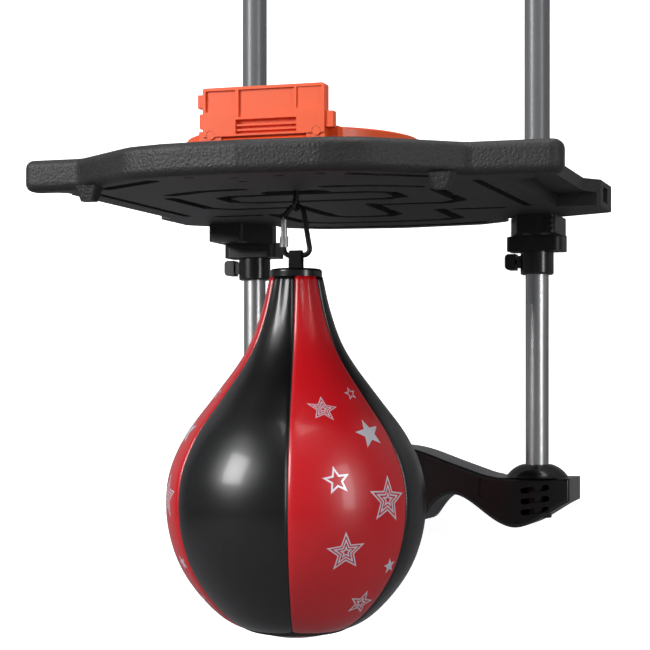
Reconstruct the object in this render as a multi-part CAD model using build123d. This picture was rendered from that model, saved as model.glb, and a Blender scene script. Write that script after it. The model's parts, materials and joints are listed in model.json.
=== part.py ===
"""Over-the-door punch trainer: a moulded platform on two tubes, a speed bag under it and a folded hoop on it.

Millimetres, +Z up, +X to the right of someone facing the door, +Y into the door.
The origin is the middle of the door's top edge at its front face: the hooks sit on Z = 0 and the bumpers on Y = 0.
"""

from build123d import *
from math import atan2, acos, cos, degrees, hypot, pi, radians, sin
import os

os.makedirs("parts", exist_ok=True)

# ---- driving dimensions -------------------------------------------------------------------------------

# tubes
post_spacing = 300.0        # between the axes of the two uprights
door_gap = 52.0             # from the door's face to the axes of the uprights
upper_od = 25.4             # powder-coated outer tube
upper_wall = 1.0
lower_od = 23.0             # plated inner tube
lower_wall = 1.2
tube_running_gap = 0.05     # radial, where one tube is guided
tube_overlap = 130.0        # of the inner tube inside the outer tube, at rest

# heights below the door's top edge
board_drop = 345.0          # down to the platform's underside
crossbar_drop = 602.0       # down to the top of the lower bar's end housings

# door hooks
door_thickness = 40.0
hook_width = 30.0
hook_strap = 3.0
hook_front_leg = 70.0
hook_back_leg = 35.0
hook_pad = 2.0
bend_radius = 32.0          # of the tube's top, turned back to the hook
bend_drop = 38.0            # from the door's edge down to the horizontal end of the tube

# platform
core_thickness = 12.0       # of the ribbed underside, below the flat top sheet
sheet_thickness = 12.0
rim_thickness = 27.0        # of the rounded front
core_half = post_spacing / 2 + 43.0     # half width of the underside
sheet_left = core_half + 3.0            # the top sheet's side edges, from the middle
sheet_right = core_half + 27.0
ear_left = core_half + 29.0             # the front ears' tips, from the middle
ear_right = core_half + 53.0
rear_left = core_half + 13.0            # the rear ears' tips, from the middle
rear_right = core_half + 40.0
tongue_half = post_spacing / 2 - 29.0   # half width of the rounded tail between the uprights
front_reach = 452.0         # from the uprights' axes to the front edge
ear_reach = 386.0           # from the uprights' axes to the ears' front edge
ear_depth = 26.0
tongue_back = 44.0          # behind the uprights' axes
shoulder_reach = 22.0       # the rear edge beside the uprights lies this far in front of their axes
rear_ear_reach = 50.0
rear_ear_length = 68.0
rim_round = 7.0
channel_depth = 6.0
channel_width = 13.0
flange_width = 24.0

# platform brackets
bracket_thickness = 18.0
bracket_reach = 60.0
bracket_outer = 29.0
bracket_inner = 24.0
clamp_height = 14.0
clamp_half = 28.0
clamp_front = 20.0
clamp_back = 16.0
collar_rise = 22.0

# tube locks
sleeve_od = 33.0
sleeve_length = 23.0
lip_length = 8.0
button_travel = 1.5
button_width = 14.0
button_height = 16.0
button_thickness = 10.5

# hanging hardware
bag_reach = 306.0           # from the uprights' axes forward to the bag's axis
wire = 4.5                  # carabiner wire
eye_wire = 3.0
eye_bore = 8.0
eye_shank = 5.0
hang_gap = 0.25             # between the eye and the carabiner at rest
link_top_radius = 7.0
link_height = 42.75         # between the wire's centres, top to bottom
link_left = 11.0
link_right = 12.6

# bag
bag_diameter = 224.0
bag_length = 311.0          # from under the top ring to the bottom
skin = 3.0
bladder_gap = 0.3
bladder_wall = 2.0
panel_count = 6
seam_turn = 45.1            # degrees, first seam from +X

# hoop
hoop_od = 204.0
hoop_band = 7.0
hoop_height = 18.0
hinge_reach = 385.0         # from the uprights' axes forward to the hoop's hinge
hoop_plate_half = 53.0
hoop_plate_height = 46.0
hoop_peg_r = 2.0
base_screw_x = 25.0
base_screw_reach = 374.0    # from the uprights' axes forward to the hinge block's screws
base_reach = 17.0           # of the hinge block's foot behind the hinge

# lower bar
bar_half = post_spacing / 2 + 36.0
bar_front = 22.0            # in front of the uprights' axes
bar_split = 10.0            # behind the uprights' axes, where the two shells meet
bar_wall = 4.0
bumper = 8.0                # thickness of the pads on the door
housing_inner = post_spacing / 2 - 34.0

# ---- derived places -----------------------------------------------------------------------------------

post_x = post_spacing / 2
post_y = -door_gap
upper_r = upper_od / 2
lower_r = lower_od / 2
board_z = -board_drop                      # underside of the platform
plate_top = board_z + core_thickness + sheet_thickness
rim_top = board_z + rim_thickness
clamp_z = board_z - bracket_thickness      # top of the clamp flange
sleeve_top = clamp_z - clamp_height
sleeve_z = sleeve_top - sleeve_length
bag_y = post_y - bag_reach
bar_top = -crossbar_drop
hoop_y = post_y - hinge_reach
base_screw_y = post_y - base_screw_reach


def save(shape, name):
    """Writes one sub-part."""
    export_step(shape, f"parts/{name}.step")


def box_between(low, high):
    """A block from its lowest corner to its highest corner."""
    size = [b - a for a, b in zip(low, high)]
    middle = [(a + b) / 2 for a, b in zip(low, high)]
    return Pos(*middle) * Box(*size)


def rod(start, end, radius):
    """A round bar between two points."""
    a, b = Vector(*start), Vector(*end)
    plane = Plane(origin=a, z_dir=(b - a).normalized())
    return extrude(plane * Circle(radius), (b - a).length)


def tube(start, end, radius, bore):
    """A round bar with a round hole through it."""
    a, b = Vector(*start), Vector(*end)
    plane = Plane(origin=a, z_dir=(b - a).normalized())
    return extrude(plane * (Circle(radius) - Circle(bore)), (b - a).length)


def stroke(points, width):
    """A flat band of one width with round ends and corners, along a run of points."""
    shape = Sketch()
    for a, b in zip(points, points[1:]):
        run = Vector(*b) - Vector(*a)
        middle = (Vector(*a) + Vector(*b)) * 0.5
        turn = degrees(atan2(run.Y, run.X))
        shape += Pos(middle.X, middle.Y) * Rot(0, 0, turn) * Rectangle(run.length, width)
    for p in points:
        shape += Pos(*p) * Circle(width / 2)
    return shape


def both_sides(shape):
    """A shape and its mirror image about the middle plane, as one."""
    return shape + mirror(shape, about=Plane.YZ)


# ---- uprights and door hooks --------------------------------------------------------------------------

upper_bottom = sleeve_z + lip_length + 0.5
tube_end_y = -hook_strap
lower_top = upper_bottom + tube_overlap


def upper_tube(x):
    """The outer tube: straight down the door, turned back at the top to meet the hook."""
    path = FilletPolyline(
        (x, post_y, upper_bottom),
        (x, post_y, -bend_drop),
        (x, tube_end_y, -bend_drop),
        radius=bend_radius,
    )
    ring = Plane(origin=path @ 0, z_dir=path % 0) * (Circle(upper_r) - Circle(upper_r - upper_wall))
    return sweep(ring, path=path)


def door_hook(x):
    """A flat strap bent over the door's top edge."""
    half = hook_width / 2
    front = box_between((x - half, -hook_strap, -hook_front_leg), (x + half, 0, hook_strap))
    top = box_between((x - half, -hook_strap, 0), (x + half, door_thickness + hook_strap, hook_strap))
    back_y = door_thickness
    back = box_between((x - half, back_y, -hook_back_leg), (x + half, back_y + hook_strap, hook_strap))
    strap = front + top + back
    outer = strap.edges().filter_by(Axis.X).group_by(Axis.Z)[-1]
    return fillet(outer, hook_strap * 0.8)


def hook_pads(x):
    """Foam strips between the strap and the door's two faces."""
    inset = 3.0
    half = hook_width / 2 - inset
    back = box_between(
        (x - half, door_thickness - hook_pad, -hook_back_leg + inset),
        (x + half, door_thickness, -hook_strap),
    )
    return back


for side, x in (("left", -post_x), ("right", post_x)):
    save(upper_tube(x), f"upper_tube_{side}")
    save(door_hook(x), f"door_hook_{side}")
save(Compound(children=[hook_pads(-post_x), hook_pads(post_x)]), "hook_pads")

# ---- platform -----------------------------------------------------------------------------------------

bulge_half = 80.0           # half width of the nearly straight front edge
waist_x = 170.0             # where the bulge meets the ears
bulge_crown = 6.0           # how far the front edge bows out


def at_post(points):
    """Points given from the uprights' axes, moved to the model's frame."""
    return [(px, post_y + py) for px, py in points]


def rounded_outline(marks):
    """A flat outline through marks given from the uprights' axes, each with its corner's radius."""
    corners = at_post([(px, py) for px, py, radius in marks])
    face = make_face(Polyline(*corners, close=True))
    for (px, py), (_, _, radius) in zip(corners, marks):
        if radius:
            corner = min(face.vertices(), key=lambda v: hypot(v.X - px, v.Y - py))
            face = fillet(corner, radius)
    return face


def tail_marks(sx):
    """Half of the rear edge: the rounded tail between the uprights, then the shoulder beside one."""
    return [
        (sx * (tongue_half - 36), tongue_back - 8, 30.0),
        (sx * tongue_half, tongue_back - 34, 22.0),
        (sx * tongue_half, -shoulder_reach, 0),
        (sx * (core_half - 12), -shoulder_reach, 0),
    ]


def sheet_marks(sx, rear, edge, ear):
    """Half of the top sheet's outline, from the tail round to the front."""
    rear_front = -rear_ear_reach - rear_ear_length
    return tail_marks(sx) + [
        (sx * rear, -rear_ear_reach, 12.0),
        (sx * rear, rear_front, 8.0),
        (sx * edge, rear_front - 18, 12.0),
        (sx * edge, -ear_reach + ear_depth, 6.0),
        (sx * ear, -ear_reach + ear_depth, 10.0),
        (sx * ear, -ear_reach, 10.0),
        (sx * waist_x, -ear_reach, 14.0),
        (sx * (bulge_half + 22), -front_reach + 12, 40.0),
        (sx * (bulge_half - 12), -front_reach + 2, 40.0),
    ]


def sheet_outline():
    """The platform seen from above."""
    right = sheet_marks(1, rear_right, sheet_right, ear_right)
    left = sheet_marks(-1, rear_left, sheet_left, ear_left)
    tail = [(0, tongue_back + 4, 0)]
    nose = [(0, -front_reach - bulge_crown + 3, 0)]
    return rounded_outline(tail + right + nose + left[::-1])


def relief():
    """The channels moulded into the platform's underside."""
    right_runs = (
        [(0, 22), (60, 18), (94, 6)],
        [(0, -26), (58, -30), (80, -44), (83, -128)],
        [(0, -82), (22, -86), (32, -100), (35, -194)],
        [(46, -187), (104, -187), (121, -204), (122, -292)],
        [(0, -236), (62, -236), (78, -248), (78, -280), (62, -292), (0, -296)],
        [(38, -342), (74, -338), (112, -318)],
        [(86, -420), (146, -380)],
        [(100, -127), (140, -127)],
    )
    shape = Sketch()
    for run in right_runs:
        band = stroke(at_post(run), channel_width)
        shape += band
        shape += mirror(band, about=Plane.YZ)
    side_x = core_half - flange_width
    side = stroke(at_post([(side_x, -140), (side_x, -346)]), 8.0)
    shape += side
    shape += mirror(side, about=Plane.YZ)
    return shape


eye_recess_half = 31.0
eye_recess_depth = 5.0
foot_x = 153.0
foot_y = 397.0
foot_height = 12.0
foot_top = 22.0
foot_tip = 13.0
slot_places = ((-47, -435), (-15, -398), (-13, -422), (26, -425), (62, -429))


def ear_pocket(tip, sx, front):
    """The recess in a rear ear's outer face."""
    low_x, high_x = sorted((sx * (tip - 5), sx * (tip + 5)))
    return box_between((low_x, front + 14, board_z + 5), (high_x, front + 38, plate_top - 5))


def platform():
    """The blow-moulded board: a ribbed core under a wider sheet, a thick rounded front and rear ears."""
    plan = sheet_outline()
    far = ear_right + 5
    cut_y = post_y - ear_reach + ear_depth + 12
    front = extrude(Pos(0, 0, board_z) * plan, rim_thickness)
    front &= box_between((-far, post_y - front_reach - 20, board_z - 5), (far, cut_y, rim_top + 5))
    top_edges = front.faces().sort_by(Axis.Z)[-1].outer_wire().edges()
    low_edges = front.faces().sort_by(Axis.Z)[0].outer_wire().edges()
    rim_edges = [e for e in list(top_edges) + list(low_edges) if e.center().Y < cut_y - 1]
    front = fillet(rim_edges, rim_round)
    plate = extrude(Pos(0, 0, board_z) * plan, core_thickness + sheet_thickness)
    plate &= box_between((-far, cut_y - 0.01, board_z - 5), (far, 5, rim_top + 5))
    ear_front = post_y - rear_ear_reach - rear_ear_length
    for sx, edge in ((-1, sheet_left), (1, sheet_right)):
        low_x, high_x = sorted((sx * core_half, sx * (edge + 30)))
        plate -= box_between((low_x, cut_y - 1, board_z - 1), (high_x, ear_front - 4, board_z + core_thickness))
    board = plate + front
    board -= ear_pocket(rear_left, -1, ear_front)
    board -= ear_pocket(rear_right, 1, ear_front)
    board -= extrude(Pos(0, 0, board_z - 1) * relief(), channel_depth + 1)
    eye_recess = SlotOverall(eye_recess_half * 2, 30.0)
    board -= extrude(Pos(0, bag_y, board_z - 1) * eye_recess, eye_recess_depth + 1)
    for px, py in at_post(slot_places):
        board -= extrude(Pos(px, py, board_z - 1) * SlotOverall(9.0, 4.0), channel_depth + 1)
    for sx in (-1, 1):
        top = Pos(sx * foot_x, post_y - foot_y, board_z + 1) * Rectangle(foot_top, foot_top * 0.7)
        tip = Pos(sx * foot_x, post_y - foot_y, board_z - foot_height) * Rectangle(foot_tip, foot_tip * 0.8)
        board += loft([fillet(top.vertices(), 3.0), fillet(tip.vertices(), 3.0)])
    board -= rod((0, bag_y, board_z - 1), (0, bag_y, plate_top + 1), eye_shank / 2 + 0.3)
    for hx, hy in board_screw_places():
        board -= rod((hx, hy, board_z - 1), (hx, hy, plate_top + 1), screw_r + 0.2)
    for hx in (-base_screw_x, base_screw_x):
        board -= rod((hx, base_screw_y, rim_top - 10), (hx, base_screw_y, rim_top + 1), hoop_peg_r)
    return board


screw_r = 2.5
board_screw_x = (-2.0, 16.0)     # outward from the uprights' axes
screw_head_r = 5.0
screw_head = 3.0
nut_height = 4.0


def board_screw_places():
    """Where the two screws of each bracket pass up through the platform."""
    return [
        (sx * (post_x + dx), post_y - bracket_reach + 18)
        for sx in (-1, 1)
        for dx in board_screw_x
    ]


def hexagon(x, y, z, across, height, bore):
    """A plain nut."""
    body = Pos(x, y, z) * extrude(RegularPolygon(across / 2, 6, major_radius=False), height)
    return body - rod((x, y, z - 1), (x, y, z + height + 1), bore)


save(platform(), "board")

# ---- brackets that clamp the platform to the uprights -------------------------------------------------


def bracket_body(sx):
    """The front half: a block bolted under the platform, with its half of the clamp."""
    x = sx * post_x
    block_plan = at_post([
        (0, 0),
        (bracket_outer, 0),
        (bracket_outer, -bracket_reach),
        (-8, -bracket_reach),
        (-bracket_inner, -12),
        (-bracket_inner, 0),
    ])
    block_plan = [(sx * (post_x + px), py) for px, py in block_plan]
    block = extrude(Pos(0, 0, clamp_z) * make_face(Polyline(*block_plan, close=True)), bracket_thickness)
    front_edges = block.edges().filter_by(Axis.Z).group_by(Axis.Y)[0]
    block = fillet(front_edges, 5.0)
    flange = box_between(
        (x - clamp_half, post_y - clamp_front, sleeve_top), (x + clamp_half, post_y, clamp_z)
    )
    flange = fillet(flange.edges().filter_by(Axis.Z).group_by(Axis.Y)[0], 8.0)
    collar_front = shoulder_reach - 0.3
    collar = box_between(
        (x - bracket_inner + 2, post_y - collar_front, board_z),
        (x + bracket_inner - 2, post_y, board_z + collar_rise),
    )
    body = block + flange + collar
    body -= rod((x, post_y, sleeve_top - 1), (x, post_y, board_z + collar_rise + 1), upper_r)
    for i in range(3):
        z = clamp_z + 3.0 + i * 5.0
        wide = box_between((x - 40, post_y - bracket_reach - 1, z), (x + 40, post_y - bracket_reach + 1.2, z + 2.0))
        keep = box_between(
            (min(x + sx * 18, x + sx * 40), post_y - bracket_reach - 2, z - 1),
            (max(x + sx * 18, x + sx * 40), post_y - bracket_reach + 2, z + 3),
        )
        body -= wide & keep
    for hx, hy in board_screw_places():
        if hx * sx > 0:
            body -= rod((hx, hy, clamp_z - 1), (hx, hy, board_z + 1), screw_r)
            body -= rod((hx, hy, clamp_z - 1), (hx, hy, clamp_z + screw_head), screw_head_r + 0.2)
    for dx in (-1, 1):
        body -= clamp_bore(x, dx, post_y - clamp_front + 4, post_y + 1)
    return body


clamp_screw_x = 21.0


def clamp_bore(x, dx, y0, y1):
    """The clear hole of one clamp screw."""
    z = (sleeve_top + clamp_z) / 2
    return rod((x + dx * clamp_screw_x, y0, z), (x + dx * clamp_screw_x, y1, z), screw_r)


def bracket_clamp(sx):
    """The rear half of the clamp."""
    x = sx * post_x
    body = box_between((x - clamp_half, post_y, sleeve_top), (x + clamp_half, post_y + clamp_back, clamp_z + 2))
    body = fillet(body.edges().filter_by(Axis.Z).group_by(Axis.Y)[-1], 6.0)
    hub = box_between(
        (x - bracket_inner + 4, post_y, clamp_z), (x + bracket_inner - 4, post_y + clamp_back, board_z + collar_rise)
    )
    hub = fillet(hub.edges().filter_by(Axis.Z).group_by(Axis.Y)[-1], 6.0)
    body += hub
    body -= rod((x, post_y, sleeve_top - 1), (x, post_y, board_z + collar_rise + 1), upper_r)
    for dx in (-1, 1):
        body -= clamp_bore(x, dx, post_y - 1, post_y + clamp_back + 1)
    return body


def clamp_screws():
    """Four screws that draw the clamp halves together, heads at the back."""
    screws = []
    z = (sleeve_top + clamp_z) / 2
    for sx in (-1, 1):
        for dx in (-1, 1):
            x = sx * post_x + dx * clamp_screw_x
            shank = rod((x, post_y - clamp_front + 4, z), (x, post_y + clamp_back, z), screw_r)
            head = rod((x, post_y + clamp_back, z), (x, post_y + clamp_back + screw_head, z), screw_head_r)
            socket_y = post_y + clamp_back + screw_head - 1.6
            socket = rod((x, socket_y, z), (x, socket_y + 3, z), 2.0)
            screws.append(shank + head - socket)
    return Compound(children=screws)


def board_screws():
    """Four screws up through the brackets into nuts on the platform."""
    screws = []
    for x, y in board_screw_places():
        shank = rod((x, y, clamp_z + screw_head), (x, y, plate_top + nut_height + 2), screw_r)
        head = rod((x, y, clamp_z), (x, y, clamp_z + screw_head), screw_head_r)
        socket = rod((x, y, clamp_z - 1), (x, y, clamp_z + 1.6), 2.0)
        screws.append(shank + head - socket)
    return Compound(children=screws)


def board_nuts():
    """The nuts of those screws."""
    nuts = [hexagon(x, y, plate_top, 9.0, nut_height, screw_r) for x, y in board_screw_places()]
    return Compound(children=nuts)


for side, sx in (("left", -1), ("right", 1)):
    save(bracket_body(sx), f"bracket_body_{side}")
    save(bracket_clamp(sx), f"bracket_clamp_{side}")
save(clamp_screws(), "clamp_screws")
save(board_screws(), "board_screws")
save(board_nuts(), "board_nuts")

# ---- telescoping locks --------------------------------------------------------------------------------

boss_face = 19.2            # from the tube's axis
stem_r = 3.0
button_gap = 1.8
lock_z = sleeve_top - 2.0 - button_height / 2


def lock_sleeve(x):
    """A bushing on the outer tube's end that guides the inner tube and carries the button."""
    body = rod((x, post_y, sleeve_z), (x, post_y, sleeve_top), sleeve_od / 2)
    body = fillet(body.faces().sort_by(Axis.Z)[0].edges(), 2.0)
    boss = box_between((x - boss_face, post_y - 6, lock_z - 6), (x, post_y + 6, lock_z + 6))
    body += boss
    body -= rod((x, post_y, upper_bottom - 0.5), (x, post_y, sleeve_top + 1), upper_r)
    body -= rod((x, post_y, sleeve_z - 1), (x, post_y, sleeve_top), lower_r + tube_running_gap)
    body -= rod((x - boss_face - 1, post_y, lock_z), (x - upper_r - 0.2, post_y, lock_z), stem_r + 0.05)
    return body


def lock_button(x):
    """The thumb button at the sleeve's left side."""
    outer = x - boss_face - button_gap - button_thickness
    pad = box_between(
        (outer, post_y - button_width / 2, lock_z - button_height / 2),
        (outer + button_thickness, post_y + button_width / 2, lock_z + button_height / 2),
    )
    pad = fillet(pad.edges().filter_by(Axis.Y).group_by(Axis.X)[0], 4.0)
    stem_end = x - upper_r - button_travel - 0.4
    return pad + rod((outer + button_thickness - 1, post_y, lock_z), (stem_end, post_y, lock_z), stem_r)


for side, x in (("left", -post_x), ("right", post_x)):
    save(lock_sleeve(x), f"lock_sleeve_{side}")
    save(lock_button(x), f"lock_button_{side}")

# ---- lower frame --------------------------------------------------------------------------------------

socket_depth = 40.0
dome_height = 13.0
dome_r = 31.0
dome_top_r = 14.5
lower_bottom = bar_top - socket_depth


def lower_tube(x):
    """The inner tube, from inside the outer tube down into the lower bar."""
    return tube((x, post_y, lower_bottom), (x, post_y, lower_top), lower_r, lower_r - lower_wall)


def tube_glides():
    """Plugs in the inner tubes' tops that run in the outer tubes."""
    glides = []
    for x in (-post_x, post_x):
        ring = rod((x, post_y, lower_top), (x, post_y, lower_top + 6), upper_r - upper_wall - tube_running_gap)
        spigot = rod((x, post_y, lower_top - 15), (x, post_y, lower_top), lower_r - lower_wall)
        glides.append(ring + spigot)
    return Compound(children=glides)


def bar_profile(inset):
    """The lower bar seen from the front, right half, drawn in by a wall where it is hollow."""
    up = bar_top - inset
    low = bar_top + inset
    end = bar_half - inset
    inner = housing_inner
    top = Spline(
        (0, 31 + up), (34, 26 + up), (62, 16 + up), (88, 7 + up), (housing_inner, up),
        tangents=((1, 0), (1, -0.12)),
    )
    lid = Line((housing_inner, up), (end, up))
    side = Line((end, up), (end, low - 23))
    bottom = Spline(
        (end, low - 23), (inner + 36, low - 43), (inner + 14, low - 49.5), (inner - 6, low - 42), (88, low - 26),
        (66, low - 17.5), (52, low - 24), (40, low - 39), (0, low - 46),
        tangents=((-1, -0.45), (-1, 0)),
    )
    middle = Line((0, low - 46), (0, 31 + up))
    return make_face(Wire([top, lid, side, bottom, middle]))


def whole_bar(inset):
    """The bar's full front view."""
    half = bar_profile(inset)
    return half + mirror(half, about=Plane.YZ)


def standing(face, y):
    """A face drawn in X and height, stood up in the plane of one depth."""
    return Plane(origin=(0, y, 0), x_dir=(1, 0, 0), z_dir=(0, -1, 0)) * face


bar_front_y = post_y - bar_front
bar_split_y = post_y + bar_split
bar_back_y = -bumper
bar_screw_r = 2.0
bar_screw_places = [
    (-bar_half + 14, bar_top - 12.0),
    (-62.0, bar_top - 2.0),
    (62.0, bar_top - 2.0),
    (bar_half - 14, bar_top - 12.0),
]


def crossbar_front():
    """The bar's front shell: open at the back, with sockets for the tubes and slots in its housings."""
    shell = extrude(standing(whole_bar(0), bar_split_y), bar_split_y - bar_front_y)
    shell = fillet(shell.faces().sort_by(Axis.Y)[0].outer_wire().edges(), 3.0)
    inner = whole_bar(bar_wall)
    shell -= extrude(standing(inner, bar_split_y + 0.01), bar_split_y - bar_front_y - bar_wall)
    for x in (-post_x, post_x):
        boss = rod((x, post_y, bar_top - socket_depth), (x, post_y, bar_top - 0.5), lower_r + 3.0)
        shell += boss & box_between((x - 40, bar_front_y + 1, bar_top - 60), (x + 40, bar_split_y, bar_top))
        shell -= rod((x, post_y, bar_top - socket_depth), (x, post_y, bar_top + 1), lower_r)
    for x, z in bar_screw_places:
        shell += rod((x, bar_front_y + 1, z), (x, bar_split_y, z), 2 * bar_screw_r)
        shell -= rod((x, bar_front_y + bar_wall, z), (x, bar_split_y + 1, z), bar_screw_r)
    for sx in (-1, 1):
        for i in range(3):
            slot = SlotOverall(29.0, 5.6)
            z = bar_top - 11.0 - i * 10.8
            turned = Pos(sx * (post_x + 2), z) * Rot(0, 0, sx * 8.0) * slot
            shell -= extrude(standing(turned, bar_front_y + 6.0), 10.0)
        panel = [
            (sx * 96, bar_top - 1), (sx * 112, bar_top - 9),
            (sx * 117, bar_top - 31), (sx * 95, bar_top - 19),
        ]
        shell -= extrude(standing(make_face(Polyline(*panel, close=True)), bar_front_y + 1.4), 5.0)
    return shell


def crossbar_back():
    """The bar's rear shell."""
    shell = extrude(standing(whole_bar(0), bar_back_y), bar_back_y - bar_split_y)
    shell = fillet(shell.faces().sort_by(Axis.Y)[-1].outer_wire().edges(), 3.0)
    inner = whole_bar(bar_wall)
    shell -= extrude(standing(inner, bar_back_y - bar_wall), bar_back_y - bar_wall - bar_split_y + 0.01)
    for x in (-post_x, post_x):
        shell -= rod((x, post_y, bar_top - socket_depth), (x, post_y, bar_top + 1), lower_r)
    for x, z in bar_screw_places:
        shell += rod((x, bar_split_y, z), (x, bar_back_y - 1, z), 2 * bar_screw_r)
        shell -= rod((x, bar_split_y - 1, z), (x, bar_back_y + 1, z), bar_screw_r)
    return shell


def crossbar_collar(x):
    """The domed ring where a tube enters the bar."""
    side_line = Line((dome_r, bar_top), (dome_r - 1.0, bar_top + 2.0))
    crown = ThreePointArc(
        (dome_r - 1.0, bar_top + 2.0), (dome_r - 8.0, bar_top + 9.0), (dome_top_r, bar_top + dome_height)
    )
    lip = Line((dome_top_r, bar_top + dome_height), (lower_r, bar_top + dome_height))
    bore = Line((lower_r, bar_top + dome_height), (lower_r, bar_top))
    floor = Line((lower_r, bar_top), (dome_r, bar_top))
    face = make_face(Wire([side_line, crown, lip, bore, floor]))
    ring = revolve(Plane.XZ * face, Axis.Z)
    return Pos(x, post_y, 0) * ring


bumper_x = 100.0
bumper_r = 19.0
bumper_z = bar_top - 17.0


def door_bumpers():
    """Soft round pads on the back of the bar that rest on the door."""
    pads = []
    for x in (-bumper_x, bumper_x):
        pad = rod((x, bar_back_y, bumper_z), (x, 0, bumper_z), bumper_r)
        pads.append(fillet(pad.faces().sort_by(Axis.Y)[-1].edges(), 2.5))
    return Compound(children=pads)


def crossbar_screws():
    """Screws from the back that hold the two shells together."""
    screws = []
    for x, z in bar_screw_places:
        shank = rod((x, bar_front_y + bar_wall, z), (x, bar_back_y, z), bar_screw_r)
        head = rod((x, bar_back_y, z), (x, bar_back_y + 2.2, z), 2 * bar_screw_r)
        screws.append(shank + head)
    return Compound(children=screws)


for side, x in (("left", -post_x), ("right", post_x)):
    save(lower_tube(x), f"lower_tube_{side}")
    save(crossbar_collar(x), f"crossbar_collar_{side}")
save(tube_glides(), "tube_glides")
save(crossbar_front(), "crossbar_front")
save(crossbar_back(), "crossbar_back")
save(door_bumpers(), "door_bumpers")
save(crossbar_screws(), "crossbar_screws")

# ---- eye bolt and carabiner ---------------------------------------------------------------------------

washer_r = 12.0
washer = 2.0
recess_z = board_z + eye_recess_depth
eye_z = board_z - 10.0
link_top_z = eye_z - eye_bore / 2 + wire / 2 + hang_gap
link_bottom_z = link_top_z - link_height
arc_z = link_top_z - link_top_radius


def eye_bolt():
    """The threaded eye that the bag hangs from; its ring lies in the fore-and-aft plane."""
    ring_r = (eye_bore + eye_wire) / 2
    ring = Pos(0, bag_y, eye_z) * Rot(0, 90, 0) * Torus(ring_r, eye_wire / 2)
    shank = rod((0, bag_y, eye_z + ring_r - 0.5), (0, bag_y, plate_top + 10), eye_shank / 2)
    return ring + shank


def eye_washers():
    """One wide washer on each face of the platform."""
    low = tube((0, bag_y, recess_z - washer), (0, bag_y, recess_z), washer_r, eye_shank / 2)
    high = tube((0, bag_y, plate_top), (0, bag_y, plate_top + washer), washer_r, eye_shank / 2)
    return Compound(children=[low, high])


save(eye_bolt(), "eye_bolt")
save(eye_washers(), "eye_washers")
save(hexagon(0, bag_y, plate_top + washer, 9.0, nut_height, eye_shank / 2), "eye_nut")

gate_r = 2.6
gate_top = arc_z - 4.0
gate_bottom = link_bottom_z + 7.6
collar_length = 9.0
collar_r = 3.8
nose_gap = 0.4


def tangent_point(px, pz, side):
    """Where a line from a point touches the carabiner's top arc, on the left or the right."""
    dx, dz = px, pz - arc_z
    distance = hypot(dx, dz)
    base = atan2(dz, dx)
    spread = acos(link_top_radius / distance)
    angle = base + side * spread
    return (link_top_radius * cos(angle), arc_z + link_top_radius * sin(angle))


def link_path():
    """The carabiner's wire: over the top arc, down the right leg, along the bottom and up to the nose."""
    start = (-link_left, gate_top + 2.5)
    touch_left = tangent_point(start[0], start[1], -1)
    corner = (link_right + 0.8, link_bottom_z)
    touch_right = tangent_point(corner[0], corner[1], 1)
    top = (0, link_top_z)
    nose = (-link_left, gate_bottom - nose_gap)

    def lift(p):
        return (p[0], bag_y, p[1])

    over = ThreePointArc(lift(touch_left), lift(top), lift(touch_right))
    first = Line(lift(start), lift(touch_left))
    rest = FilletPolyline(
        lift(touch_right), lift(corner), lift((-link_left, link_bottom_z)), lift(nose), radius=5.5
    )
    return Wire([first, over] + list(rest.edges()))


def carabiner_frame():
    """The wire body, with a flat fork that holds the gate's pin."""
    path = link_path()
    section = Plane(origin=path @ 0, z_dir=path % 0) * Circle(wire / 2)
    body = sweep(section, path=path)
    fork_z = gate_top + 1.0
    cheek = box_between(
        (-link_left - 2.2, bag_y - 2.2, fork_z - 1.0), (-link_left + 2.2, bag_y + 2.2, fork_z + 3.6)
    )
    body += cheek
    body -= box_between((-link_left - 4, bag_y - 1.0, fork_z - 3), (-link_left + 4, bag_y + 1.0, fork_z + 2.2))
    body -= rod((-link_left, bag_y - 4, fork_z), (-link_left, bag_y + 4, fork_z), gate_pin_r)
    return body


gate_pin_r = 0.6


def gate_pin():
    """The gate's hinge pin."""
    fork_z = gate_top + 1.0
    return rod((-link_left, bag_y - 2.2, fork_z), (-link_left, bag_y + 2.2, fork_z), gate_pin_r)


def carabiner_gate():
    """The tubular gate with the flat tongue that turns on the pin."""
    fork_z = gate_top + 1.0
    barrel = rod((-link_left, bag_y, gate_bottom), (-link_left, bag_y, gate_top - 1.2), gate_r)
    tongue = box_between((-link_left - 1.5, bag_y - 0.9, gate_top - 2.0), (-link_left + 1.5, bag_y + 0.9, fork_z + 1.2))
    gate = barrel + tongue
    return gate - rod((-link_left, bag_y - 3, fork_z), (-link_left, bag_y + 3, fork_z), gate_pin_r + 0.05)


def gate_collar():
    """The knurled sleeve on the gate."""
    low = gate_bottom
    ring = rod((-link_left, bag_y, low), (-link_left, bag_y, low + collar_length), collar_r)
    ring -= rod((-link_left, bag_y, low - 1), (-link_left, bag_y, low + collar_length + 1), gate_r + 0.05)
    flutes = 14
    for i in range(flutes):
        a = 2 * pi * i / flutes
        cx, cy = -link_left + collar_r * cos(a), bag_y + collar_r * sin(a)
        ring -= rod((cx, cy, low + 1.2), (cx, cy, low + collar_length - 1.2), 0.4)
    return ring


save(carabiner_frame(), "carabiner_frame")
save(gate_pin(), "gate_pin")
save(carabiner_gate(), "carabiner_gate")
save(gate_collar(), "gate_collar")

# ---- speed bag ----------------------------------------------------------------------------------------

bag_top = link_bottom_z - 12.0        # top of the collar ring
collar_ring = 7.0
neck_r = 21.5
loop_width = 11.0
loop_thickness = 1.8
bag_r = bag_diameter / 2
skin_top = bag_top - collar_ring
skin_bottom = skin_top - bag_length


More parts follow.
